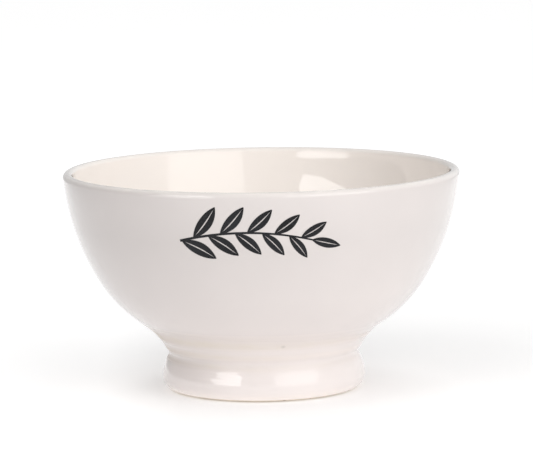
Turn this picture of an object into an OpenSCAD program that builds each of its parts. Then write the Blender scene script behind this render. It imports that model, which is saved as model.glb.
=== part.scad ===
// Footed latte bowl. A thrown clay bowl is luted with slip onto a separate turned foot ring, then glazed
// outside, inside and under the foot, with a leaf sprig printed on the front wall.
// Millimetres, +Z up. The origin is on the table under the centre of the bowl, and the front faces -Y.
// Every outline is the finished one drawn inward: 0 is the glazed surface, glaze_t is the clay under it.

/* [Bowl] */
// Finished diameter across the rim
rim_d = 144; // [120:1:170]
// Finished height from the table to the crest of the rim
bowl_h = 80; // [68:0.5:95]
// Finished thickness of the wall, both coats of glaze included
wall_t = 3.6; // [3:0.1:4.8]
// Angle by which the wall still leans outward at the rim
rim_lean = 4.6; // [2:0.1:8]
// Radius of the upper wall's curve as a share of that of one plain curve from the rim to the foot
upper_share = 1.115; // [1.05:0.005:1.25]
// Radius of the lower wall's curve as a share of the same plain curve
lower_share = 0.66; // [0.52:0.005:0.84]

/* [Foot] */
// Finished diameter of the foot at its bulge
foot_d = 74; // [62:0.5:86]
// Radius of the foot's rounded lower edge
roll_r = 5.2; // [4:0.1:6.4]
// Radius of the shoulder above the bulge
shoulder_r = 12.5; // [9:0.1:16]
// How far the waist is drawn in from the bulge
waist_in = 2.6; // [1.4:0.1:3.4]
// Radius of the hollow of the waist
waist_r = 2.5; // [1.6:0.1:4.5]
// How far the straight flare above the waist reaches out again to the kink where it meets the bowl
flare_out = 5.7; // [3.5:0.1:8]
// Height of that kink above the middle of the waist's hollow
flare_h = 8.6; // [7.4:0.1:11]
// Width of the dry flat ring that the bowl stands on
land_w = 3.4; // [2:0.1:6]
// Angle at which the wall of the foot's hollow draws in upward
bore_draft = 4; // [0:0.5:8]

/* [Glaze and slip] */
// Thickness of each coat of glaze
glaze_t = 0.35; // [0.2:0.05:0.6]
// Height above the table at which the glaze stops
dry_h = 0.8; // [0.6:0.1:1.6]
// Thickness of the slip between the bowl and the foot
slip_t = 0.5; // [0.3:0.1:1]

/* [Printed sprig] */
// Drop of the sprig's stem below the crest of the rim, at the top of its arch
sprig_drop = 14; // [13:0.5:22]
// Thickness of the printed layer
print_t = 0.1; // [0.06:0.02:0.2]
// Length of the stem along its arch
stem_len = 47; // [40:1:52]
// Width of the stem
stem_w = 0.9; // [0.6:0.1:1.4]
// Radius of the stem's arch
arch_r = 85; // [60:1:140]
// Number of leaves along each side of the stem
leaf_count = 5; // [3:1:6]
// Length of the largest leaf
leaf_len = 14.5; // [11:0.5:15.5]
// Width of the largest leaf
leaf_w = 4.9; // [3.5:0.1:5.8]
// Angle between the stem and a leaf
leaf_angle = 43; // [34:1:48]

/* [Hidden] */
// Facets of a preview circle
$fn = 160;
// Length that reaches past the whole bowl, for masks
far = rim_d + bowl_h;
// Overlap by which neighbouring curves cross where they would only touch
lap = 0.004;
// Turn by which one curve runs on behind its neighbour
lap_turn = 2;
// Least height of the bowl's underside as a share of the kink's height
base_share = 0.7;
// Smallest leaf, at the tip of the stem, as a share of the largest
tip_share = 0.72;
// Starts of the upper and lower leaves before each division of the stem, as shares of their spacing
upper_lag_share = 0.5;
lower_lag_share = 0.95;

// Direction of an angle in the section, where x is the radius and y is the height
function ray(a) = [cos(a), sin(a)];

// Section of the foot: the roll and the shoulder meet at the bulge, the waist is tangent to the shoulder
foot_r = foot_d / 2;
roll_c = [foot_r - roll_r, roll_r];
shoulder_c = [foot_r - shoulder_r, roll_r];
waist_dx = shoulder_r + waist_r - waist_in;
waist_dz = sqrt(pow(shoulder_r + waist_r, 2) - pow(waist_dx, 2));
waist_c = shoulder_c + [waist_dx, waist_dz];
waist_angle = atan2(waist_dz, waist_dx);
bore_r = roll_c[0] - land_w - glaze_t;

// The lip, and the kink where the flare of the foot meets the bowl
lip_r = wall_t / 2;
lip_c = [rim_d / 2 - lip_r, bowl_h - lip_r];
kink_c = [foot_r - waist_in + flare_out, waist_c[1] + flare_h];

// The flare touches the hollow of the waist, passes the kink and ends inside the bowl's wall
kink_v = kink_c - waist_c;
touch_angle = atan2(kink_v[1], kink_v[0]) + acos(waist_r / norm(kink_v));
flare_len = sqrt(kink_v * kink_v - waist_r * waist_r) + lip_r;
// Point on the flare, drawn inward by i, at a distance from where it leaves the waist
function flare_at(i, s) = waist_c + (waist_r + i) * ray(touch_angle) + s * ray(touch_angle - 90);

// One plain curve would run from the lip to the kink; the wall splits it into two tangent ones
side_v = kink_c - lip_c - lip_r * ray(-rim_lean);
plain_r = (side_v * side_v) / (-2 * (side_v * ray(-rim_lean)));
upper_r = upper_share * plain_r;
lower_r = lower_share * plain_r;
step_r = upper_r - lower_r;
upper_c = lip_c - (upper_r - lip_r) * ray(-rim_lean);
span_v = kink_c - upper_c;
span = norm(span_v);
span_angle = acos((step_r * step_r + span * span - lower_r * lower_r) / (2 * span * step_r));
bend_angle = -atan2(span_v[1], span_v[0]) - span_angle;
lower_c = upper_c + step_r * ray(-bend_angle);
base_z = max(lower_c[1] - lower_r, base_share * kink_c[1]);

// Slice of a disc between two angles
module pie(c, r, a0, a1) {
    intersection() {
        translate(c)
            circle(r = r);
        polygon([c, c + far * ray(a0), c + far * ray(a1)]);
    }
}

// Everything on the inner side of the wall's two curves, drawn inward by i
module round_area(i) {
    intersection() {
        translate(upper_c)
            circle(r = upper_r - i);
        polygon([lower_c, lower_c + far * ray(-bend_angle), [far, far], [-far, far], [-far, 0]]);
    }
    intersection() {
        translate(lower_c)
            circle(r = lower_r - i + lap);
        polygon([lower_c, lower_c + far * ray(lap_turn - bend_angle), [-far, -far], [-far, lower_c[1]]]);
    }
    translate([-far, -far])
        square([far + lower_c[0], far + lower_c[1]]);
}

// The same above the bowl's underside, for taking away
module solid_area(i) {
    intersection() {
        round_area(i);
        translate([-far, base_z + i])
            square(far + far);
    }
}

// The same up to the line across the lip
module bowl_area(i) {
    brim_z = lip_c[1] + (lip_c[0] + wall_t) * tan(rim_lean);
    intersection() {
        round_area(i);
        polygon([[-wall_t, base_z + i], [far, base_z + i], lip_c + far * ray(-rim_lean), [-wall_t, brim_z]]);
    }
}

// The same up to the lip and a line below its crest, for taking away
module core_area(i) {
    intersection() {
        solid_area(i);
        polygon([
            [-far, -far],
            [far, -far],
            lip_c + far * ray(lap_turn - rim_lean),
            lip_c,
            [-far, lower_c[1]],
        ]);
    }
}

// Half-round lip on the end of the wall, drawn inward by i
module lip_area(i) {
    translate(lip_c)
        circle(r = lip_r - i + lap);
}

// Everything on the inner side of the lip's crest
module crest_area() {
    polygon([lip_c, lip_c + far * ray(90 - rim_lean), [-far, far], [-far, 0]]);
}

// Everything on this side of the axis
module half_area() {
    translate([0, -far])
        square([far, far + far]);
}

// Everything inside the foot's outline, drawn inward by i, as far up as the bowl's wall
module foot_area(i) {
    flare_end = flare_at(i, flare_len);
    translate(roll_c)
        circle(r = roll_r - i + lap);
    difference() {
        union() {
            intersection() {
                translate(shoulder_c)
                    circle(r = shoulder_r - i);
                translate([0, roll_r])
                    square(far);
            }
            polygon([
                [-far, -far],
                [roll_c[0], -far],
                roll_c,
                shoulder_c + shoulder_r / 2 * ray(waist_angle),
                waist_c,
                flare_at(i, 0),
                flare_end,
                [-far, flare_end[1]],
            ]);
        }
        translate(waist_c)
            circle(r = waist_r + i + lap);
    }
}

// The hollow of the foot, widened by i
module bore_area(i) {
    draw_in = far * tan(bore_draft);
    polygon([[-far, -far], [bore_r + i + draw_in, -far], [bore_r + i - draw_in, far], [-far, far]]);
}

// The part of the foot that no glaze reaches
module dry_area() {
    translate([-far, dry_h - far])
        square([far + far, far]);
}

// Section of the wall, floor and lip, drawn inward by i from both sides
module wall_area(i) {
    difference() {
        bowl_area(i);
        solid_area(wall_t - i);
    }
    lip_area(i);
}

// Thrown clay wall and floor with a half-round lip
module bowl_body() {
    color([0.80, 0.74, 0.65])
    rotate_extrude()
    intersection() {
        wall_area(glaze_t);
        half_area();
    }
}

// Turned clay foot whose top is hollowed to the bowl's curve
module foot_ring() {
    color([0.78, 0.71, 0.61])
    rotate_extrude()
    difference() {
        intersection() {
            foot_area(glaze_t);
            square(far);
        }
        bore_area(glaze_t);
        solid_area(glaze_t - slip_t);
    }
}

// Slip that fills the joint between the bowl and the foot
module slip_seam() {
    color([0.72, 0.65, 0.56])
    rotate_extrude()
    difference() {
        intersection() {
            solid_area(glaze_t - slip_t);
            foot_area(glaze_t);
        }
        solid_area(glaze_t);
        bore_area(glaze_t);
    }
}

// Coat from the crest of the lip down the wall and over the foot to the dry line
module outside_glaze() {
    color([0.93, 0.90, 0.88])
    rotate_extrude()
    difference() {
        union() {
            bowl_area(0);
            lip_area(0);
            foot_area(0);
        }
        core_area(glaze_t);
        lip_area(glaze_t);
        foot_area(glaze_t);
        crest_area();
        dry_area();
    }
}

// Coat from the crest of the lip down the inside and over the floor
module inside_glaze() {
    color([0.96, 0.93, 0.88])
    rotate_extrude()
    difference() {
        intersection() {
            wall_area(0);
            half_area();
            union() {
                solid_area(lip_r);
                crest_area();
            }
        }
        wall_area(glaze_t);
    }
}

// Coat over the bowl's underside and the wall of the foot's hollow, down to the dry line
module underside_glaze() {
    color([0.94, 0.91, 0.87])
    rotate_extrude()
    difference() {
        intersection() {
            bore_area(glaze_t);
            translate([0, dry_h])
                square([far, kink_c[1] - dry_h]);
        }
        solid_area(glaze_t);
        difference() {
            bore_area(0);
            solid_area(0);
        }
    }
}

// Leaf with two equal curved edges, from its base at the origin along +X, at a share of the full size
module leaf(share) {
    half_l = leaf_len * share / 2;
    half_w = leaf_w * share / 2;
    edge_r = (half_l * half_l + half_w * half_w) / (2 * half_w);
    translate([half_l, 0])
    intersection() {
        translate([0, edge_r - half_w])
            circle(r = edge_r);
        translate([0, half_w - edge_r])
            circle(r = edge_r);
    }
}

// Places its child on the arch of the stem at a share of the stem's length, along the stem
module on_stem(share) {
    turn = (0.5 - share) * stem_len / arch_r * 180 / PI;
    translate([0, -arch_r])
    rotate(turn)
    translate([0, arch_r])
        children();
}

// Flat drawing of the sprig: an arched stem with leaves on both sides and one at the tip
module sprig_area() {
    half_turn = stem_len / arch_r * 90 / PI;
    difference() {
        pie([0, -arch_r], arch_r + stem_w / 2, 90 - half_turn, 90 + half_turn);
        translate([0, -arch_r])
            circle(r = arch_r - stem_w / 2);
    }
    for (k = [1 : leaf_count]) {
        size_share = 1 - (1 - tip_share) * k / leaf_count;
        on_stem((k - upper_lag_share) / leaf_count)
        rotate(leaf_angle)
            leaf(size_share);
        on_stem((k - lower_lag_share) / leaf_count)
        rotate(-leaf_angle)
            leaf(size_share);
    }
    on_stem(1)
    translate([-stem_w, 0])
        leaf(tip_share);
}

// Black print fused onto the glaze of the front wall
module printed_sprig() {
    color([0.10, 0.10, 0.11])
    intersection() {
        rotate_extrude()
        difference() {
            intersection() {
                bowl_area(-print_t);
                translate([0, kink_c[1]])
                    square(far);
            }
            solid_area(0);
        }
        translate([-leaf_len * tip_share / 2, 0, bowl_h - sprig_drop])
        rotate([90, 0, 0])
        linear_extrude(height = far)
            sprig_area();
    }
}

bowl_body();
foot_ring();
slip_seam();
outside_glaze();
inside_glaze();
underside_glaze();
printed_sprig();
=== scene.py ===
import bpy
import numpy as np
from mathutils import Matrix


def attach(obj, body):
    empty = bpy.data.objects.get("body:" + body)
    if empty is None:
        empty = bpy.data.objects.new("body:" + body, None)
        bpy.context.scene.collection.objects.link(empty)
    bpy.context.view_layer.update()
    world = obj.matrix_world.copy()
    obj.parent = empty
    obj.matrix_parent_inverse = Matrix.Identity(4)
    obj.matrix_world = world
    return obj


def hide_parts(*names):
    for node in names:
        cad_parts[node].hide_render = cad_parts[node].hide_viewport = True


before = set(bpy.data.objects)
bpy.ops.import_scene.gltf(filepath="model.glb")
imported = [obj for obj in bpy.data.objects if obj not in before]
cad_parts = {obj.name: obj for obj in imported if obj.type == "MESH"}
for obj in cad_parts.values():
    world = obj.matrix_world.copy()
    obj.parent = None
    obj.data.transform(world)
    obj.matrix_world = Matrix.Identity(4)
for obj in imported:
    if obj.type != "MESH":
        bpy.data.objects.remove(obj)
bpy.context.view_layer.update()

# Camera. A long lens stands 1.35 m in front of the bowl and a little above its rim, tipped down
# on the belly and rolled by less than a degree, so the rim shows as a narrow ellipse.
LENS_MM, SENSOR_MM, FAR_CLIP = 253.1, 36.0, 50.0
CAMERA_AT = (0.0, -1.350, 0.2390)
CAMERA_PITCH, CAMERA_YAW, CAMERA_ROLL = 0.1344, 0.0012, -0.0148


def camera_axes(pitch, yaw, roll):
    """Right, up and backward directions: the view turns by yaw, tips down by pitch, then rolls."""
    forward = np.array([np.sin(yaw) * np.cos(pitch), np.cos(yaw) * np.cos(pitch), -np.sin(pitch)])
    level = np.array([np.cos(yaw), -np.sin(yaw), 0.0])
    upright = np.cross(level, forward)
    right = np.cos(roll) * level + np.sin(roll) * upright
    up = -np.sin(roll) * level + np.cos(roll) * upright
    return right, up, -forward


def placed(axes, place):
    """Transform that stands at a place, with the three axes as its columns."""
    transform = np.eye(4)
    transform[:3, :3] = np.transpose(axes)
    transform[:3, 3] = place
    return Matrix(transform.tolist())


lens = bpy.data.cameras.new("bowl_camera")
lens.sensor_width = SENSOR_MM
lens.lens = LENS_MM
lens.clip_end = FAR_CLIP
camera = bpy.data.objects.new("bowl_camera", lens)
camera.matrix_world = placed(camera_axes(CAMERA_PITCH, CAMERA_YAW, CAMERA_ROLL), CAMERA_AT)
bpy.context.scene.collection.objects.link(camera)
bpy.context.scene.camera = camera
bpy.context.scene.view_settings.view_transform = "Standard"


# Clay bowl. The thrown stoneware wall, floor and lip lie out of sight under the glaze, so the solid
# of the frame stays and takes the look of fired buff clay: fine grain, pale grog and a few iron grains.
CLAY_PALE = (0.70, 0.60, 0.48, 1.0)
CLAY_DEEP = (0.58, 0.47, 0.36, 1.0)
GROG_TONE = (0.78, 0.70, 0.58, 1.0)
IRON_TONE = (0.16, 0.09, 0.05, 1.0)


def new_group(name, inputs, outputs):
    """Empty shader group with named sockets: inputs are (type, name, default), outputs (type, name)."""
    group = bpy.data.node_groups.new(name, "ShaderNodeTree")
    for kind, label, default in inputs:
        socket = group.interface.new_socket(label, in_out="INPUT", socket_type=kind)
        socket.default_value = default
    for kind, label in outputs:
        group.interface.new_socket(label, in_out="OUTPUT", socket_type=kind)
    source, sink = group.nodes.new("NodeGroupInput"), group.nodes.new("NodeGroupOutput")
    return group, source.outputs, sink.inputs


def wire(tree, kind, sets=(), links=()):
    """Adds a node, sets its properties or numbered inputs, and links sockets into its inputs."""
    node = tree.nodes.new(kind)
    for key, value in sets:
        if isinstance(key, str) and hasattr(node, key):
            setattr(node, key, value)
        else:
            node.inputs[key].default_value = value
    for key, socket in links:
        tree.links.new(socket, node.inputs[key])
    return node


def blend_colours(tree, factor, first, second):
    """Mix of two colours by a factor; each of the three is a socket, or a plain value set on the node."""
    node = wire(tree, "ShaderNodeMix", [("data_type", "RGBA")])
    for index, value in ((0, factor), (6, first), (7, second)):
        if isinstance(value, bpy.types.NodeSocket):
            tree.links.new(value, node.inputs[index])
        else:
            node.inputs[index].default_value = value
    return node.outputs[2]


def noise(tree, scale, detail=2.0, rough=0.5, stretch=None):
    """Cloud noise on Object coordinates in metres, stretched along an axis if asked, from 0 to 1."""
    place = tree.nodes.new("ShaderNodeTexCoord").outputs["Object"]
    if stretch:
        place = wire(tree, "ShaderNodeMapping", [("Scale", stretch)], [("Vector", place)]).outputs[0]
    sets = [("Scale", scale), ("Detail", detail), ("Roughness", rough)]
    return wire(tree, "ShaderNodeTexNoise", sets, [("Vector", place)]).outputs["Fac"]


def remap(tree, value, low, high, to_low=0.0, to_high=1.0):
    """Straight-line map of a value from one range to another, held at the ends."""
    sets = [(1, low), (2, high), (3, to_low), (4, to_high)]
    return wire(tree, "ShaderNodeMapRange", sets, [(0, value)]).outputs[0]


def combine(tree, operation, first, second):
    """Arithmetic on two values, each a socket or a number."""
    node = wire(tree, "ShaderNodeMath", [("operation", operation)])
    for index, value in enumerate((first, second)):
        if isinstance(value, bpy.types.NodeSocket):
            tree.links.new(value, node.inputs[index])
        else:
            node.inputs[index].default_value = value
    return node.outputs[0]


def specks(tree, scale, reach, share):
    """Round specks: in a share of the cells of a Voronoi net, a spot within reach of the cell's point."""
    place = tree.nodes.new("ShaderNodeTexCoord").outputs["Object"]
    cells = wire(tree, "ShaderNodeTexVoronoi", [("Scale", scale)], [("Vector", place)])
    spot = remap(tree, cells.outputs["Distance"], 0.45 * reach, reach, 1.0, 0.0)
    pick = wire(tree, "ShaderNodeSeparateColor", links=[(0, cells.outputs["Color"])]).outputs[0]
    return combine(tree, "MULTIPLY", spot, remap(tree, pick, 1.0 - share, 1.0 - 0.8 * share))


def fired_clay_group():
    """Buff clay: pale and deep tones in soft clouds, pale grog, dark iron grains and a gritty height."""
    group, take, give = new_group(
        "fired_clay",
        [("NodeSocketColor", "Pale", CLAY_PALE), ("NodeSocketColor", "Deep", CLAY_DEEP)],
        [("NodeSocketColor", "Color"), ("NodeSocketFloat", "Roughness"), ("NodeSocketFloat", "Height")],
    )
    clouds = remap(group, noise(group, 90.0, 4.0, 0.6), 0.32, 0.68)
    body = blend_colours(group, clouds, take["Deep"], take["Pale"])
    grog = specks(group, 900.0, 0.42, 0.35)
    body = blend_colours(group, combine(group, "MULTIPLY", grog, 0.45), body, GROG_TONE)
    iron = specks(group, 420.0, 0.30, 0.16)
    body = blend_colours(group, combine(group, "MULTIPLY", iron, 0.6), body, IRON_TONE)
    grit = noise(group, 2200.0, 3.0, 0.65)
    group.links.new(body, give["Color"])
    group.links.new(remap(group, grit, 0.3, 0.7, 0.78, 0.94), give["Roughness"])
    group.links.new(combine(group, "ADD", grit, combine(group, "MULTIPLY", grog, 0.3)), give["Height"])
    return group


def shaded(name, group, values, bump, attributes=(), sockets=()):
    """Material of one group: its colour, roughness and height drive a Principled shader, the height through
    a bump, and so does its coat where it has one. Sockets are plain values of the shader."""
    material = bpy.data.materials.new(name)
    material.use_nodes = True
    tree = material.node_tree
    shader = next(n for n in tree.nodes if n.type == "BSDF_PRINCIPLED")
    detail = wire(tree, "ShaderNodeGroup", [("node_tree", group)])
    for label, value in values.items():
        detail.inputs[label].default_value = value
    for label in attributes:
        mask = wire(tree, "ShaderNodeAttribute", [("attribute_name", label.lower())])
        tree.links.new(mask.outputs["Fac"], detail.inputs[label])
    strength, distance = bump
    sets = [("Strength", strength), ("Distance", distance)]
    relief = wire(tree, "ShaderNodeBump", sets, [("Height", detail.outputs["Height"])])
    tree.links.new(detail.outputs["Color"], shader.inputs["Base Color"])
    tree.links.new(detail.outputs["Roughness"], shader.inputs["Roughness"])
    tree.links.new(relief.outputs["Normal"], shader.inputs["Normal"])
    if "Coat" in detail.outputs:
        tree.links.new(detail.outputs["Coat"], shader.inputs["Coat Weight"])
    for label, value in sockets:
        shader.inputs[label].default_value = value
    return material


def dress(node, material):
    """Gives a solid of the frame a new material in place of its own."""
    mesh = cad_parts[node].data
    mesh.materials.clear()
    mesh.materials.append(material)


FIRED_CLAY = fired_clay_group()
bowl_clay = shaded("bowl_clay", FIRED_CLAY, {}, (0.35, 0.0002))
dress("bowl_body", bowl_clay)


# Slip seam. Liquid clay brushed into the joint holds the foot on the bowl, a little darker and
# smoother than the clay beside it. It is hidden too, so the solid of the frame stays.
SLIP_TONES = {"Pale": (0.62, 0.52, 0.41, 1.0), "Deep": (0.50, 0.40, 0.30, 1.0)}
slip_clay = shaded("slip_clay", FIRED_CLAY, SLIP_TONES, (0.2, 0.0001))
dress("slip_seam", slip_clay)


# Foot ring. Turned from the same clay and luted on under the bowl. Only its dry standing ring shows,
# wiped clean of glaze, with the fine grooves that the turning tool and the wiping sponge leave.
MM = 0.001
ROUND_STEPS = 224
SHARP_ANGLE = np.radians(38.0)
FOOT_R, ROLL_R, SHOULDER_R = 37.0, 5.2, 12.5
WAIST_IN, WAIST_R = 2.6, 2.5
FLARE_OUT, FLARE_H = 5.7, 8.6
LAND_W, BORE_DRAFT = 3.4, np.radians(4.0)
GLAZE_T, DRY_H = 0.35, 0.8
# The clay lies a little under the glazed surface, by CLAY_UNDER outside and the BORE values in the hollow
CLAY_UNDER, RING_CORNER_R, RING_STEP = 0.34, 0.16, 0.06
ROLL_START = 0.012 - np.pi / 2.0
RING_IN, BORE_IN, BORE_FOOT = 0.62, 0.40, (0.42, 0.5)
FLARE_RUN, FOOT_TOP, DRAFT_H = 4.2, 16.6, 17.0
FOOT_TONES = {"Pale": (0.69, 0.62, 0.535, 1.0), "Deep": (0.56, 0.49, 0.41, 1.0)}
ROLL_C = np.array([FOOT_R - ROLL_R, ROLL_R])
SHOULDER_C = np.array([FOOT_R - SHOULDER_R, ROLL_R])
BORE_R = ROLL_C[0] - LAND_W - GLAZE_T


def ray(angle):
    """Direction of an angle in the section, as a radius and a height."""
    return np.stack([np.cos(angle), np.sin(angle)], axis=-1)


def waist_centre(depth, radius):
    """Centre of a hollow that touches the shoulder's arc from outside and cuts in by a depth."""
    across = SHOULDER_R + radius - depth
    return SHOULDER_C + (across, np.sqrt((SHOULDER_R + radius) ** 2 - across**2))


def waist_angles(centre, radius, kink):
    """Angle of the line from the shoulder's centre to a hollow's, on which the two arcs meet, and the angle
    about the hollow's centre where the straight flare from the kink touches it."""
    meet, reach = centre - SHOULDER_C, kink - centre
    touch = np.arctan2(reach[1], reach[0]) + np.arccos(radius / np.hypot(*reach))
    return np.arctan2(meet[1], meet[0]), touch


def arc(centre, radius, start, stop, count):
    """Points of a circular arc about a centre, evenly spaced from the start angle to the stop angle."""
    return centre + radius * ray(np.linspace(start, stop, count))


def line(start, stop, count):
    """Evenly spaced points of a straight line."""
    share = np.linspace(0.0, 1.0, count)[:, None]
    return np.asarray(start) * (1.0 - share) + np.asarray(stop) * share


def joined(*runs):
    """One outline from runs that meet: the first point of each later run is dropped."""
    return np.concatenate([runs[0]] + [run[1:] for run in runs[1:]])


def normals_of(outline):
    """Unit normals of an outline, a quarter turn to the left of its direction of travel."""
    along = np.gradient(outline, axis=0)
    along /= np.linalg.norm(along, axis=1, keepdims=True) + 1e-12
    return np.stack([-along[:, 1], along[:, 0]], axis=1)


def lathe(name, outline, push, masks, closed):
    """Surface of revolution: each outline point turns round the axis and is pushed along its normal by
    push(angle, point), all in millimetres. A closed outline makes a ring; an open one starts and ends
    on the axis, where its end rings shrink to single points. Faces turn outward by the sign of the
    section's area. Masks are values per outline point, or per point and angle."""
    angle = np.linspace(0.0, 2.0 * np.pi, ROUND_STEPS, endpoint=False)
    side = normals_of(outline)
    moved = push(angle[None, :], outline)
    radius = np.maximum(outline[:, :1] + moved * side[:, :1], 0.0)
    height = outline[:, 1:] + moved * side[:, 1:]
    points = np.stack([radius * np.sin(angle), -radius * np.cos(angle), height + 0.0 * angle], axis=-1)
    index = np.arange(len(outline) * ROUND_STEPS).reshape(len(outline), ROUND_STEPS)
    flat = points.reshape(-1, 3)
    if not closed:
        index[0], index[-1] = index[0, 0], index[-1, 0]
        flat[index[0, 0], :2] = flat[index[-1, 0], :2] = 0.0
    rows = np.roll(index, -1, axis=0) if closed else index[1:]
    base = index if closed else index[:-1]
    corners = [base, rows, np.roll(rows, -1, axis=1), np.roll(base, -1, axis=1)]
    quads = np.stack(corners, axis=-1).reshape(-1, 4)
    ahead = np.roll(outline, -1, axis=0)
    if np.sum(outline[:, 0] * ahead[:, 1] - ahead[:, 0] * outline[:, 1]) > 0.0:
        quads = quads[:, ::-1]
    return shell(name, flat * MM, quads, {k: (v + 0.0 * angle).ravel() for k, v in masks.items()})


def shell(name, points, quads, masks):
    """Mesh object of points and four-cornered faces. A face with two corners on a pole becomes a triangle,
    unused points go, edges sharper than an angle stay sharp, and masks are values per point."""
    far_pole = quads[:, 1] == quads[:, 2]
    pole = far_pole | (quads[:, 0] == quads[:, 3])
    four = quads[~pole]
    three = np.where(far_pole[:, None], quads[:, [0, 2, 3]], quads[:, [0, 1, 2]])[pole]
    used, place = np.unique(np.concatenate([four.ravel(), three.ravel()]), return_inverse=True)
    faces = [*place[: four.size].reshape(-1, 4).tolist(), *place[four.size :].reshape(-1, 3).tolist()]
    mesh = bpy.data.meshes.new(name)
    mesh.from_pydata(points[used].tolist(), [], faces)
    for label, values in masks.items():
        mask = mesh.attributes.new(label, "FLOAT", "POINT")
        mask.data.foreach_set("value", values[used].astype(np.float32))
    mesh.polygons.foreach_set("use_smooth", np.ones(len(mesh.polygons), dtype=bool))
    mesh.set_sharp_from_angle(angle=SHARP_ANGLE)
    piece = bpy.data.objects.new(name, mesh)
    bpy.context.scene.collection.objects.link(piece)
    return piece


WAIST_C = waist_centre(WAIST_IN, WAIST_R)
KINK_C = np.array([FOOT_R - WAIST_IN + FLARE_OUT, WAIST_C[1] + FLARE_H])
WAIST_ANGLE, TOUCH_ANGLE = waist_angles(WAIST_C, WAIST_R, KINK_C)


def foot_outline():
    """Section of the dry foot: along the standing ring, round its small outer corner, up the rolled edge,
    round the shoulder and the waist just under the glaze, in under the bowl, and down the hollow's wall."""
    under, corner, ring_r = CLAY_UNDER, RING_CORNER_R, ROLL_C[0]
    flare = WAIST_C + (WAIST_R + under) * ray(TOUCH_ANGLE)
    flare_top = flare + FLARE_RUN * ray(TOUCH_ANGLE - np.pi / 2)
    hollow_top = (BORE_R + BORE_IN - DRAFT_H * np.tan(BORE_DRAFT), FOOT_TOP)
    return joined(
        line((BORE_R + RING_IN, 0.0), (ring_r - corner, 0.0), 28),
        arc((ring_r - corner, corner), corner, -np.pi / 2.0, 0.0, 5),
        line((ring_r, corner), (ring_r + RING_STEP, under), 3),
        arc(ROLL_C, ROLL_R - under, ROLL_START, 0.0, 18),
        arc(SHOULDER_C, SHOULDER_R - under, 0.0, WAIST_ANGLE, 8),
        arc(WAIST_C, WAIST_R + under, np.pi + WAIST_ANGLE, TOUCH_ANGLE, 14),
        line(flare, flare_top, 5),
        line(flare_top, hollow_top, 8),
        line(hollow_top, (BORE_R + BORE_FOOT[0], BORE_FOOT[1]), 6),
    )


def turned_grooves(angle, outline):
    """Fine tool rings on the flat of the standing ring: a ripple of two waves along the radius."""
    radius, height = outline[:, :1], outline[:, 1:]
    ripple = np.sin(2.0 * np.pi * radius / 0.55) + 0.6 * np.sin(2.0 * np.pi * radius / 0.31 + angle)
    return np.where(height < 0.05, 0.012 * (ripple + 1.6), 0.0)


foot = lathe("foot_clay", foot_outline(), turned_grooves, {}, True)
foot.data.materials.append(shaded("foot_clay", FIRED_CLAY, FOOT_TONES, (0.5, 0.0003)))
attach(foot, "root")
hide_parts("foot_ring")


# Outside glaze. Warm white tin glaze, dipped over the wall and the foot and wiped off at the dry line.
# It breaks thin and pale on the lip, and pools in the kink and the waist, where it looks a little yellow.
# Its tone darkens up the wall, in the waist and on the foot but for its left side: painted shade.
RIM_R, BOWL_H, WALL_T = 72.0, 80.0, 3.6
RIM_LEAN = np.radians(4.6)
UPPER_SHARE, LOWER_SHARE = 1.115, 0.66
KINK_FILL_R = 22.0
POOL_IN, POOL_R, WAIST_Z = 2.34, 2.5, 12.4
# Strength, height and width of each band of pooled glaze
POOL_BANDS = ((1.0, 20.9, 1.5), (0.75, 16.2, 1.3), (0.35, 23.5, 3.5), (0.6, WAIST_Z, 1.1))
# Radius that holds the pools and the waist's painted shade, and the heights from and over which painted
# shade darkens the wall
FOOT_ZONE_R, PAINTED_SHADE_FROM, PAINTED_SHADE_OVER = 46.0, 24.0, 38.0
HIDDEN_INSET = 0.31
POOL_C = waist_centre(POOL_IN, POOL_R)
POOL_ANGLE, POOL_TOUCH = waist_angles(POOL_C, POOL_R, KINK_C)
# One plain arc from lip to kink would have PLAIN_R, and the wall's two tangent arcs take shares of it
LIP_R = WALL_T / 2.0
LIP_C = np.array([RIM_R - LIP_R, BOWL_H - LIP_R])
SIDE_V = KINK_C - LIP_C - LIP_R * ray(-RIM_LEAN)
PLAIN_R = SIDE_V @ SIDE_V / (-2.0 * SIDE_V @ ray(-RIM_LEAN))
UPPER_R, LOWER_R = UPPER_SHARE * PLAIN_R, LOWER_SHARE * PLAIN_R
UPPER_C = LIP_C - (UPPER_R - LIP_R) * ray(-RIM_LEAN)
SPAN_V = KINK_C - UPPER_C
SPAN = np.hypot(*SPAN_V)
STEP_R = UPPER_R - LOWER_R
STEP_COS = (STEP_R**2 + SPAN**2 - LOWER_R**2) / (2.0 * SPAN * STEP_R)
BEND = -np.arctan2(SPAN_V[1], SPAN_V[0]) - np.arccos(STEP_COS)
LOWER_C = UPPER_C + STEP_R * ray(-BEND)
BASE_Z = LOWER_C[1] - LOWER_R


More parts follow.
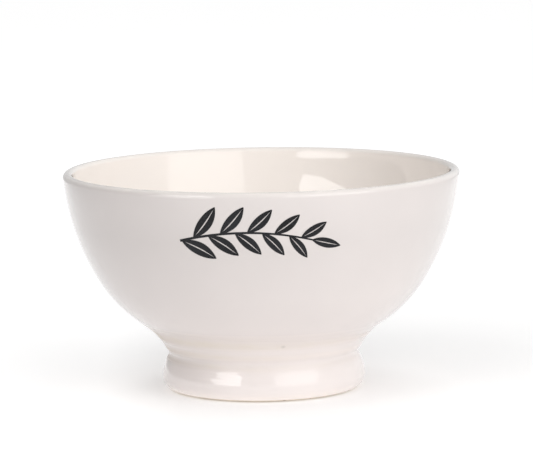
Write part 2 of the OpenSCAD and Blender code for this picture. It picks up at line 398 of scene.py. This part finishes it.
def outside_outline(inset):
    """Glazed outside in one line, drawn inward by the inset: a quarter of the lip, the gentle upper arc, the
    rounder lower arc, a fill in the kink, the straight flare, the waist that pooled glaze makes a little
    shallower than the clay's, the shoulder and the roll."""
    inward, up = ray(POOL_TOUCH), ray(POOL_TOUCH - np.pi / 2.0)
    fill_reach = LOWER_R - inset + KINK_FILL_R
    offset = POOL_C + (POOL_R + inset - KINK_FILL_R) * inward - LOWER_C
    rise = -offset @ up - np.sqrt((offset @ up) ** 2 - offset @ offset + fill_reach**2)
    fill_c = LOWER_C + offset + rise * up
    wall_end = np.arctan2(*(fill_c - LOWER_C)[::-1])
    flare_foot = POOL_C + (POOL_R + inset) * inward
    dry = -np.arcsin((ROLL_R - DRY_H) / (ROLL_R - inset))
    return joined(
        arc(LIP_C, LIP_R - inset, np.pi / 2.0 - RIM_LEAN, -RIM_LEAN, 21),
        arc(UPPER_C, UPPER_R - inset, -RIM_LEAN, -BEND, 61),
        arc(LOWER_C, LOWER_R - inset, -BEND, wall_end, 45),
        arc(fill_c, KINK_FILL_R, wall_end + np.pi, POOL_TOUCH, 15),
        line(fill_c + KINK_FILL_R * inward, flare_foot, 25),
        arc(POOL_C, POOL_R + inset, POOL_TOUCH, np.pi + POOL_ANGLE, 31),
        arc(SHOULDER_C, SHOULDER_R - inset, POOL_ANGLE, 0.0, 37),
        arc(ROLL_C, ROLL_R - inset, 0.0, dry, 25),
    )


def band(value, middle, width):
    """Soft band: a bell curve that is 1 at its middle and falls off over a width."""
    return np.exp(-(((value - middle) / width) ** 2))


def hand_made(angle, outline):
    """Slow unevenness of a thrown form, only ever inward: three long waves round the bowl that drift with
    height, up to a twentieth of a millimetre, plus the fine rings that turning leaves in the flare."""
    height = outline[:, 1:]
    slow = 0.5 + 0.24 * np.cos(2.0 * angle + 0.7 + height / 60.0)
    slow = slow + 0.16 * np.cos(3.0 * angle + 2.1 - height / 35.0)
    slow = slow + 0.10 * np.cos(5.0 * angle - 1.3 + height / 18.0)
    turns = 2.0 * np.pi * height
    rings = np.sin(turns / 1.7 + 0.5 * np.sin(angle)) + 0.7 * np.sin(turns / 0.93)
    return 0.004 + 0.05 * slow + 0.004 * band(height, 16.5, 4.5) * (rings + 1.7)


def glaze_masks(outline):
    """Where the coat is thick, in soft bands from the kink down to the waist that fade from the left round
    to the right and faintly above the dry line, where it is thin, on the lip, and a painted shade that
    darkens its tone: up the wall, in the waist, and on the foot, there least at the left."""
    angle = np.linspace(0.0, 2.0 * np.pi, ROUND_STEPS, endpoint=False)
    height = outline[:, 1:]
    low = outline[:, :1] < FOOT_ZONE_R
    bands = sum(share * band(height, middle, width) for share, middle, width in POOL_BANDS)
    pool = low * (bands * (0.64 - 0.36 * np.sin(angle)) + 0.3 * band(height, 1.2, 1.6))
    # Painted shade: the tone darkens on the foot, most at the right, in the waist, and up the wall.
    foot_painted_shade = np.clip((15.0 - height) / 3.0, 0.0, 1.0) * (0.35 - 0.3 * np.clip(-np.sin(angle), 0.0, 1.0))
    waist_painted_shade = 0.5 * low * band(height, WAIST_Z, 1.5)
    rise = np.clip((height - PAINTED_SHADE_FROM) / PAINTED_SHADE_OVER, 0.0, 1.0) + np.maximum(foot_painted_shade, waist_painted_shade)
    return {"pool": np.minimum(pool, 1.0), "thin": band(height, BOWL_H, 1.2), "rise": rise}


SPECK_TONE, SPOT_TONE = (0.24, 0.18, 0.13, 1.0), (0.30, 0.28, 0.26, 1.0)


def glaze_group():
    """Glaze in depth: a body tone in broad clouds that the rise mask darkens as painted shade, yellow where
    it pools, pale where it is thin, a few soft iron specks and a larger one at a given place. The orange
    peel of firing is its height, and its clear gloss is a coat that gives way to a rougher surface where it
    pools."""
    group, take, give = new_group(
        "glaze",
        [
            ("NodeSocketColor", "Body", (0.8, 0.8, 0.8, 1.0)),
            ("NodeSocketColor", "High", (0.8, 0.8, 0.8, 1.0)),
            ("NodeSocketColor", "Pooled", (0.7, 0.7, 0.6, 1.0)),
            ("NodeSocketColor", "Lip", (0.9, 0.9, 0.9, 1.0)),
            ("NodeSocketFloat", "Pool", 0.0),
            ("NodeSocketFloat", "Thin", 0.0),
            ("NodeSocketFloat", "Rise", 0.0),
            ("NodeSocketVector", "Speck", (0.0, 0.0, -1.0)),
        ],
        [
            ("NodeSocketColor", "Color"),
            ("NodeSocketFloat", "Roughness"),
            ("NodeSocketFloat", "Height"),
            ("NodeSocketFloat", "Coat"),
        ],
    )
    clouds = remap(group, noise(group, 26.0, 3.0), 0.30, 0.70, -0.10, 0.10)
    body = blend_colours(group, combine(group, "ADD", take["Rise"], clouds), take["Body"], take["High"])
    uneven = remap(group, noise(group, 110.0, 3.0, 0.6, (1.0, 1.0, 3.0)), 0.3, 0.7, 0.45, 1.0)
    body = blend_colours(group, combine(group, "MULTIPLY", take["Pool"], uneven), body, take["Pooled"])
    body = blend_colours(group, combine(group, "MULTIPLY", take["Thin"], uneven), body, take["Lip"])
    iron = specks(group, 95.0, 0.035, 0.10)
    body = blend_colours(group, combine(group, "MULTIPLY", iron, 0.45), body, SPECK_TONE)
    place = group.nodes.new("ShaderNodeTexCoord").outputs["Object"]
    gap = wire(group, "ShaderNodeVectorMath", [("operation", "DISTANCE")], [(0, place), (1, take["Speck"])])
    spot = remap(group, gap.outputs["Value"], 0.0002, 0.0011, 0.30, 0.0)
    body = blend_colours(group, spot, body, SPOT_TONE)
    broad = combine(group, "MULTIPLY", noise(group, 70.0, 1.0), 1.6)
    peel = combine(group, "ADD", noise(group, 240.0, 2.0), broad)
    gloss = remap(group, noise(group, 60.0, 2.0), 0.3, 0.7, 0.035, 0.065)
    matt = combine(group, "MULTIPLY", take["Pool"], 0.75)
    group.links.new(body, give["Color"])
    group.links.new(combine(group, "ADD", gloss, matt), give["Roughness"])
    group.links.new(peel, give["Height"])
    group.links.new(remap(group, take["Pool"], 0.0, 0.4, 1.0, 0.1), give["Coat"])
    return group


GLAZE = glaze_group()
GLAZE_LIP = (0.80, 0.755, 0.72, 1.0)
GLAZE_SOCKETS = (("Coat Roughness", 0.05), ("Specular IOR Level", 0.06))
seen = outside_outline(0.0)
hidden = outside_outline(HIDDEN_INSET)[::-3]
coat_outline = np.concatenate([seen, hidden])
bare = np.zeros((len(hidden), ROUND_STEPS))
coat_masks = {k: np.concatenate([v + np.zeros(ROUND_STEPS), bare]) for k, v in glaze_masks(seen).items()}


def outside_push(angle, outline):
    """The unevenness moves the seen side only, and the side against the clay stays true."""
    return np.where(np.arange(len(outline))[:, None] < len(seen), -hand_made(angle, outline), 0.0)


outside = lathe("outside_coat", coat_outline, outside_push, coat_masks, True)
outside.data.materials.append(
    shaded(
        "outside_glaze",
        GLAZE,
        {
            # Darker than the inside copy of the same glaze, as painted shade; High is the darker tone that
            # painted shade reaches up the wall, in the waist and on the foot.
            "Body": (0.815, 0.755, 0.735, 1.0),
            "High": (0.664, 0.619, 0.603, 1.0),
            "Pooled": (0.785, 0.72, 0.65, 1.0),
            "Lip": GLAZE_LIP,
            "Speck": (0.0069, -0.0390, 0.0208),
        },
        (0.12, 0.00012),
        ("Pool", "Thin", "Rise"),
        GLAZE_SOCKETS,
    )
)
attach(outside, "root")
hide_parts("outside_glaze")


# Inside glaze. The same white glaze poured in and swirled out, creamier over the deep floor, meeting
# the outside coat along the crest of the lip.
INNER_R_UPPER, INNER_R_LOWER = UPPER_R - WALL_T, LOWER_R - WALL_T


def inside_outline(inset):
    """Glazed inside in one line from the centre of the floor, drawn into the wall by the inset: the flat of
    the floor, the lower arc, the upper arc, and a quarter of the lip up to its crest."""
    floor_z = BASE_Z + WALL_T - inset
    return joined(
        line((0.0, floor_z), (LOWER_C[0], floor_z), 25),
        arc(LOWER_C, INNER_R_LOWER + inset, -np.pi / 2.0, -BEND, 61),
        arc(UPPER_C, INNER_R_UPPER + inset, -BEND, -RIM_LEAN, 55),
        arc(LIP_C, LIP_R - inset, np.pi - RIM_LEAN, np.pi / 2.0 - RIM_LEAN, 21),
    )


inner_seen = inside_outline(0.0)
inner_hidden = inside_outline(HIDDEN_INSET)[::-3]
inner_hidden[-1, 0] = 0.0
inner_outline = np.concatenate([inner_seen, inner_hidden])
inner_side = np.concatenate([np.ones(len(inner_seen)), np.zeros(len(inner_hidden))])[:, None]
inner_masks = {
    "pool": inner_side * band(inner_outline[:, 1:], 20.0, 3.0),
    "thin": inner_side * band(inner_outline[:, 1:], BOWL_H, 1.2),
}


def inside_push(angle, outline):
    """Slow waves of the swirled coat, up to 0.06 mm into the wall on the seen side, none near the axis."""
    radius, height = outline[:, :1], outline[:, 1:]
    slow = 0.5 + 0.3 * np.cos(2.0 * angle - 0.4 + height / 40.0)
    slow = slow + 0.2 * np.cos(3.0 * angle + 1.2 - height / 25.0)
    seen_side = np.arange(len(outline))[:, None] < len(inner_seen)
    crest = 1.0 - band(height, BOWL_H, 2.0)
    return np.where(seen_side, -0.004 - 0.06 * slow * crest * np.minimum(radius / 20.0, 1.0), 0.0)


inside = lathe("inside_coat", inner_outline, inside_push, inner_masks, False)
inside.data.materials.append(
    shaded(
        "inside_glaze",
        GLAZE,
        {
            # Paler than the outside copy of the same glaze, as painted light.
            "Body": (0.876, 0.824, 0.780, 1.0),
            "High": (0.856, 0.802, 0.760, 1.0),
            "Pooled": (0.82, 0.76, 0.70, 1.0),
            "Lip": GLAZE_LIP,
        },
        (0.10, 0.00012),
        ("Pool", "Thin"),
        GLAZE_SOCKETS,
    )
)
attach(inside, "root")
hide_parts("inside_glaze")


# Hollow coat. The hollow of the foot is glazed too, thinly and a bit unevenly, brushed on in the same
# white down to the dry line.
HOLLOW_FILLET_R = 2.0


def hollow_outline(inset):
    """Glazed hollow in one line from the axis, drawn into the clay by the inset: the bowl's underside, a
    small rounded corner, and the wall of the hollow, which opens downward by its draft."""
    top = BASE_Z + inset
    corner_r = BORE_R + inset - top * np.tan(BORE_DRAFT)
    fillet = HOLLOW_FILLET_R - inset
    centre = np.array([corner_r - fillet * (1.0 + np.tan(BORE_DRAFT)), top - fillet])
    wall_top = centre + fillet * ray(BORE_DRAFT)
    dry = np.array([BORE_R + inset - DRY_H * np.tan(BORE_DRAFT), DRY_H])
    return joined(
        line((0.0, top), centre + (0.0, fillet), 25),
        arc(centre, fillet, np.pi / 2.0, BORE_DRAFT, 11),
        line(wall_top, dry, 25),
    )


hollow_seen = hollow_outline(0.0)
hollow_hidden = hollow_outline(HIDDEN_INSET)[::-2]
hollow_hidden[-1, 0] = 0.0
hollow_line = np.concatenate([hollow_seen, hollow_hidden])
hollow_side = np.concatenate([np.ones(len(hollow_seen)), np.zeros(len(hollow_hidden))])[:, None]
hollow_masks = {
    "pool": hollow_side * 0.6 * band(hollow_line[:, :1], 24.0, 2.5),
    "thin": 0.0 * hollow_side,
}


def hollow_push(angle, outline):
    """Brushed coat: long waves up to 0.08 mm into the clay on the seen side, and none near the axis."""
    radius = outline[:, :1]
    slow = 0.5 + 0.5 * np.cos(4.0 * angle + radius / 6.0)
    seen_side = np.arange(len(outline))[:, None] < len(hollow_seen)
    return np.where(seen_side, 0.08 * slow * np.minimum(radius / 12.0, 1.0), 0.0)


hollow = lathe("hollow_coat", hollow_line, hollow_push, hollow_masks, False)
hollow.data.materials.append(
    shaded(
        "hollow_glaze",
        GLAZE,
        {
            "Body": (0.84, 0.80, 0.735, 1.0),
            "High": (0.80, 0.755, 0.68, 1.0),
            "Pooled": (0.76, 0.70, 0.59, 1.0),
            "Lip": GLAZE_LIP,
        },
        (0.4, 0.00015),
        ("Pool", "Thin"),
        GLAZE_SOCKETS,
    )
)
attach(hollow, "root")
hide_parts("underside_glaze")


# Leaf print. A black sprig printed on the front of the fired glaze and fired again: a thin layer of
# ceramic ink with rounded edges, each leaf parted by an unprinted midrib.
SPRIG_DROP, PRINT_T, PRINT_SINK = 14.0, 0.08, 0.12
STEM_LEN, STEM_W, ARCH_R = 47.0, 0.9, 85.0
LEAF_COUNT, LEAF_LEN, LEAF_W = 5, 14.5, 4.9
LEAF_ANGLE = np.radians(43.0)
TIP_SHARE, UPPER_LAG_SHARE, LOWER_LAG_SHARE = 0.72, 0.5, 0.95
MIDRIB_W, LEAF_BOW = 0.42, 0.45
STEM_TIP_SHARE = 0.62
LEAF_ROWS, LEAF_COLUMNS, STEM_ROWS = 25, 5, 97


def wall_radius(height):
    """Outside radius of the glazed wall at a height, from its two arcs."""
    bend_z = LOWER_C[1] - LOWER_R * np.sin(BEND)
    upper = UPPER_C[0] + np.sqrt(np.maximum(UPPER_R**2 - (height - UPPER_C[1]) ** 2, 0.0))
    lower = LOWER_C[0] + np.sqrt(np.maximum(LOWER_R**2 - (height - LOWER_C[1]) ** 2, 0.0))
    return np.where(height > bend_z, upper, lower)


def on_wall(flat, proud):
    """Puts flat sprig points, x to the right and z up, straight back onto the front wall, proud or sunk."""
    shift = np.array([-LEAF_LEN * TIP_SHARE / 2.0, BOWL_H - SPRIG_DROP])
    x, z = np.moveaxis(flat + shift, -1, 0)
    radius = wall_radius(z)
    angle = np.arcsin(x / radius)
    ring = np.stack([radius, z], axis=-1).reshape(-1, 2)
    uneven = hand_made(angle.reshape(-1, 1), ring)[:, 0].reshape(radius.shape)
    reach = radius + proud - uneven
    return np.stack([x, -np.sqrt(reach**2 - x**2), z], axis=-1)


def flat_tube(left, right):
    """Thin printed strip between two edge lines: columns across, the proud side then the sunk side, and the
    ends closed by their own faces. Takes and returns points as strips, rows and columns."""
    share = np.linspace(0.0, 1.0, LEAF_COLUMNS)[:, None]
    across = left[:, :, None] * (1.0 - share) + right[:, :, None] * share
    dome = PRINT_T * (0.55 + 0.45 * np.sqrt(np.sin(np.pi * np.clip(share[:, 0], 0.02, 0.98))))
    return np.concatenate([on_wall(across, dome), on_wall(across[:, :, ::-1], -PRINT_SINK)], axis=2)


def tube_quads(strips, rows, columns):
    """Faces of such strips: every row joins the next all round, and each end is closed pair by pair."""
    index = np.arange(strips * rows * columns).reshape(strips, rows, columns)
    turned = np.roll(index, -1, axis=2)
    sides = np.stack([index[:, :-1], turned[:, :-1], turned[:, 1:], index[:, 1:]], axis=-1).reshape(-1, 4)
    half = columns // 2
    mate = index[:, :, ::-1]
    near, far = index[:, 0], index[:, -1]
    near_mate, far_mate = mate[:, 0], mate[:, -1]
    pairs = slice(0, half - 1)
    after = slice(1, half)
    start = np.stack([near[:, pairs], near_mate[:, pairs], near_mate[:, after], near[:, after]], axis=-1)
    stop = np.stack([far[:, after], far_mate[:, after], far_mate[:, pairs], far[:, pairs]], axis=-1)
    return np.concatenate([sides, start.reshape(-1, 4), stop.reshape(-1, 4)])[:, ::-1]


def stem_place(share):
    """Point and heading on the stem's arch at a share of its length."""
    turn = (0.5 - share) * STEM_LEN / ARCH_R
    point = np.stack([-ARCH_R * np.sin(turn), ARCH_R * np.cos(turn) - ARCH_R], axis=-1)
    return point, turn


def leaf_halves(share, side, size):
    """Both halves of each leaf: two equal arcs from base to tip round a midline that bows a little towards
    the tip of the sprig, parted by a midrib that opens after the base and closes before the tip."""
    base, heading = stem_place(share)
    angle = heading + side * LEAF_ANGLE
    half_l, half_w = LEAF_LEN * size / 2.0, LEAF_W * size / 2.0
    edge_r = (half_l**2 + half_w**2) / (2.0 * half_w)
    along = np.linspace(0.012, 0.988, LEAF_ROWS)
    reach = 2.0 * half_l[:, None] * along
    width = np.sqrt(edge_r[:, None] ** 2 - (reach - half_l[:, None]) ** 2) - (edge_r - half_w)[:, None]
    bow = -side[:, None] * LEAF_BOW * size[:, None] * np.sin(np.pi * along)
    ease = np.clip((along - 0.10) / 0.25, 0.0, 1.0) * np.clip((0.93 - along) / 0.35, 0.0, 1.0)
    gap = 0.5 * MIDRIB_W * size[:, None] * ease**0.7
    forward, across = ray(angle)[:, None], ray(angle + np.pi / 2.0)[:, None]
    midline = base[:, None] + reach[..., None] * forward
    edges = [midline + (bow + v)[..., None] * across for v in (-width, -gap, gap - 0.004, width)]
    return np.concatenate([edges[0], edges[2]]), np.concatenate([edges[1], edges[3]])


step = np.arange(1, LEAF_COUNT + 1)
pair_size = 1.0 - (1.0 - TIP_SHARE) * step / LEAF_COUNT
tip_back = 1.0 - STEM_W / STEM_LEN
upper_share, lower_share = (step - UPPER_LAG_SHARE) / LEAF_COUNT, (step - LOWER_LAG_SHARE) / LEAF_COUNT
leaf_share = np.concatenate([upper_share, lower_share, [tip_back]])
leaf_side = np.concatenate([np.ones(LEAF_COUNT), -np.ones(LEAF_COUNT), [0.0]])
leaf_size = np.concatenate([pair_size, pair_size, [TIP_SHARE]])
leaf_points = flat_tube(*leaf_halves(leaf_share, leaf_side, leaf_size))

stem_along = np.linspace(0.0, 1.0, STEM_ROWS)
stem_mid, stem_turn = stem_place(stem_along)
stem_taper = STEM_TIP_SHARE + (1.0 - STEM_TIP_SHARE) * (1.0 - stem_along) ** 0.8
stem_half = 0.5 * STEM_W * stem_taper[:, None] * ray(stem_turn + np.pi / 2.0)
stem_points = flat_tube((stem_mid - stem_half)[None], (stem_mid + stem_half)[None])

leaf_quads = tube_quads(*leaf_points.shape[:3])
stem_quads = tube_quads(*stem_points.shape[:3]) + leaf_points.size // 3
sprig_points = np.concatenate([leaf_points.reshape(-1, 3), stem_points.reshape(-1, 3)])


def ink_group():
    """Ceramic ink: black with a slate cast where the print is thin, in fine mottling, and a soft gloss."""
    group, take, give = new_group(
        "ceramic_ink",
        [
            ("NodeSocketColor", "Dense", (0.01, 0.01, 0.01, 1.0)),
            ("NodeSocketColor", "Sparse", (0.05, 0.05, 0.05, 1.0)),
        ],
        [("NodeSocketColor", "Color"), ("NodeSocketFloat", "Roughness"), ("NodeSocketFloat", "Height")],
    )
    mottle = remap(group, noise(group, 420.0, 4.0, 0.65), 0.42, 0.78)
    patch = combine(group, "MULTIPLY", remap(group, noise(group, 55.0, 2.0), 0.40, 0.75), 0.8)
    thinness = combine(group, "MAXIMUM", combine(group, "MULTIPLY", mottle, 0.6), patch)
    group.links.new(blend_colours(group, thinness, take["Dense"], take["Sparse"]), give["Color"])
    group.links.new(remap(group, mottle, 0.0, 1.0, 0.20, 0.36), give["Roughness"])
    group.links.new(noise(group, 1500.0, 2.0), give["Height"])
    return group


sprig = shell("leaf_print", sprig_points * MM, np.concatenate([leaf_quads, stem_quads]), {})
sprig.data.materials.append(
    shaded(
        "black_ink",
        ink_group(),
        {"Dense": (0.006, 0.006, 0.007, 1.0), "Sparse": (0.020, 0.021, 0.025, 1.0)},
        (0.25, 0.00004),
        sockets=[("Specular IOR Level", 0.2)],
    )
)
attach(sprig, "root")
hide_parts("printed_sprig")


# Studio. Two soft lamps light the bowl, and glowing faces and a near card show only in the glaze. The white
# table keeps the bowl's shadow, wears a painted glow round it that only the camera and the glaze see, and
# throws light up under it. The room is pale in front, behind, to the right and above, there more to the
# left.
FLOOR_HALF = 2.6
BOWL_MIDDLE = np.array([0.0, 0.0, 0.04])
SHADE_AT = (0.008, -0.012, 0.0)
LAMP_AWAY, CARD_AWAY = 1.2, 0.33
RIGHT_FACE_RADIANCE, LEFT_FACE_RADIANCE = 2.5, 4.3
RIGHT_LAMP_TINT, RIGHT_FACE_TINT = (1.0, 0.985, 0.975), (1.0, 0.98, 0.97)
LEFT_LAMP_TINT, LEFT_FACE_TINT = (1.0, 0.985, 0.98), (1.0, 0.99, 0.98)
TABLE_TONE = (0.90, 0.90, 0.90, 1.0)


def white_seen(tree):
    """1 for rays from the camera and for mirrored or transmitted ones, 0 for the rays that carry light."""
    path = tree.nodes.new("ShaderNodeLightPath").outputs
    mirrored = combine(tree, "MAXIMUM", path["Is Glossy Ray"], path["Is Transmission Ray"])
    return combine(tree, "MAXIMUM", path["Is Camera Ray"], mirrored)


floor_mesh = bpy.data.meshes.new("table")
corners = FLOOR_HALF * np.array([[-1, -1, 0], [1, -1, 0], [1, 1, 0], [-1, 1, 0]])
floor_mesh.from_pydata(corners.tolist(), [], [[0, 1, 2, 3]])
table = bpy.data.objects.new("table", floor_mesh)
bpy.context.scene.collection.objects.link(table)
table_white = bpy.data.materials.new("table_white")
table_white.use_nodes = True
tree = table_white.node_tree
tree.nodes.clear()
place = tree.nodes.new("ShaderNodeTexCoord").outputs["Object"]
across = wire(tree, "ShaderNodeSeparateXYZ", links=[(0, place)]).outputs[0]
apart = [("operation", "DISTANCE"), (1, SHADE_AT)]
gap = wire(tree, "ShaderNodeVectorMath", apart, [(0, place)]).outputs["Value"]
away = wire(tree, "ShaderNodeVectorMath", [("operation", "LENGTH")], [(0, place)]).outputs["Value"]
# Painted glow for the eye and the glaze: least in the shadow's core, more to the left of it, and none far
# out to the sides
core = remap(tree, gap, 0.030, 0.065, 0.05, 0.19)
open_table = combine(tree, "ADD", core, remap(tree, gap, 0.08, 0.40, 0.0, 0.19))
left = remap(tree, across, -0.03, -0.06, 0.0, 0.11)
left = combine(tree, "MULTIPLY", left, remap(tree, gap, 0.15, 0.40, 1.0, 0.0))
strip = remap(tree, combine(tree, "ABSOLUTE", across, 0.0), 0.25, 0.45, 1.0, 0.0)
painted_table_glow = combine(tree, "MULTIPLY", strip, combine(tree, "ADD", open_table, left))
painted_table_glow = combine(tree, "MULTIPLY", white_seen(tree), painted_table_glow)
# Light for the bowl: thrown up round the foot, more from the left, and strongest in a ring close to it
lit = remap(tree, across, -0.04, 0.03, 0.18, 0.05)
lit = combine(tree, "MULTIPLY", lit, remap(tree, away, 0.04, 0.12, 1.0, 0.0))
lit = combine(tree, "ADD", lit, remap(tree, away, 0.033, 0.043, 0.45, 0.0))
under = combine(tree, "MULTIPLY", lit, remap(tree, white_seen(tree), 0.0, 1.0, 1.0, 0.0))
matt = wire(tree, "ShaderNodeBsdfDiffuse", [("Color", TABLE_TONE)])
shine = wire(tree, "ShaderNodeEmission", links=[("Strength", combine(tree, "ADD", painted_table_glow, under))])
both = wire(tree, "ShaderNodeAddShader", links=[(0, matt.outputs[0]), (1, shine.outputs[0])])
wire(tree, "ShaderNodeOutputMaterial", links=[("Surface", both.outputs[0])])
floor_mesh.materials.append(table_white)

world = bpy.data.worlds.new("white_room")
world.use_nodes = True
tree = world.node_tree
room = next(n for n in tree.nodes if n.type == "BACKGROUND")
place = tree.nodes.new("ShaderNodeTexCoord").outputs["Generated"]
way = wire(tree, "ShaderNodeSeparateXYZ", links=[(0, place)])
from_right = remap(tree, way.outputs[0], 0.0, 1.0, 0.0, 0.82)
from_ends = combine(tree, "MULTIPLY", combine(tree, "ABSOLUTE", way.outputs[1], 0.0), 0.67)
lean = remap(tree, way.outputs[0], -0.9, 0.9, 2.0, 0.0)
from_above = remap(tree, way.outputs[2], 0.35, 0.85, 0.0, 0.33)
from_above = combine(tree, "MULTIPLY", from_above, lean)
around = combine(tree, "ADD", from_right, from_ends)
tree.links.new(combine(tree, "ADD", around, from_above), room.inputs["Strength"])
room.inputs["Color"].default_value = (1.0, 1.0, 1.0, 1.0)
bpy.context.scene.world = world


def toward(azimuth, elevation):
    """Direction from the bowl: azimuth counts from the camera to the right, both in degrees."""
    azimuth, elevation = np.radians(azimuth), np.radians(elevation)
    level = np.cos(elevation)
    return np.stack([np.sin(azimuth) * level, -np.cos(azimuth) * level, np.sin(elevation)], axis=-1)


def soft_lamp(name, azimuth, low, high, width, radiance, colour):
    """Rectangular lamp turned to the bowl, from a low to a high elevation. The glaze doesn't mirror it."""
    way, side = toward(azimuth, 0.5 * (low + high)), toward(azimuth + 90.0, 0.0)
    lamp = bpy.data.lights.new(name, "AREA")
    lamp.shape = "RECTANGLE"
    lamp.size, lamp.size_y = width, 2.0 * LAMP_AWAY * np.tan(np.radians(0.5 * (high - low)))
    lamp.energy = radiance * np.pi * lamp.size * lamp.size_y
    lamp.color = colour
    holder = bpy.data.objects.new(name, lamp)
    holder.visible_glossy = False
    holder.matrix_world = placed((side, np.cross(way, side), way), BOWL_MIDDLE + LAMP_AWAY * way)
    bpy.context.scene.collection.objects.link(holder)


def soft_face(name, corners, radiance, colour, distance=LAMP_AWAY):
    """Glowing sheet that only the glaze mirrors, through corners given by azimuth and elevation."""
    mesh = bpy.data.meshes.new(name)
    points = BOWL_MIDDLE + distance * toward(*np.transpose(corners))
    mesh.from_pydata(points.tolist(), [], [list(range(len(points)))])
    material = bpy.data.materials.new(name)
    material.use_nodes = True
    tree = material.node_tree
    tree.nodes.clear()
    shine = wire(tree, "ShaderNodeEmission", [("Color", (*colour, 1.0)), ("Strength", radiance)])
    wire(tree, "ShaderNodeOutputMaterial", links=[("Surface", shine.outputs[0])])
    mesh.materials.append(material)
    face = bpy.data.objects.new(name, mesh)
    face.visible_camera = face.visible_diffuse = face.visible_shadow = False
    bpy.context.scene.collection.objects.link(face)


near_side = [(14, -1.5), (12, 10), (11.5, 22), (13, 32), (17.5, 42)]
far_side = [(34, 43), (52, 42), (72, 36), (66, 22), (62, 8), (62, -1.5)]
soft_lamp("right_softbox", 38.0, 0.0, 46.0, 1.17, 1.74, RIGHT_LAMP_TINT)
soft_face("right_face", near_side + far_side, RIGHT_FACE_RADIANCE, RIGHT_FACE_TINT)

near_side = [(-28, 16), (-25.5, 22), (-29, 31), (-38, 42)]
far_side = [(-50, 40), (-64, 34), (-57, 25), (-60, 20), (-40, 16.3)]
low_strip = [(-26, -1), (-58, -1), (-58, 5), (-26, 5)]
near_card = [(-25, 0.9), (-59, 0.9), (-60, 10.6), (-31, 12.7), (-24.5, 11.6)]
soft_lamp("left_softbox", -38.5, 14.0, 60.0, 0.80, 1.20, LEFT_LAMP_TINT)
soft_face("left_face", near_side + far_side, LEFT_FACE_RADIANCE, LEFT_FACE_TINT)
soft_face("left_strip", low_strip, LEFT_FACE_RADIANCE, LEFT_FACE_TINT)
soft_face("left_card", near_card, LEFT_FACE_RADIANCE, LEFT_FACE_TINT, CARD_AWAY)
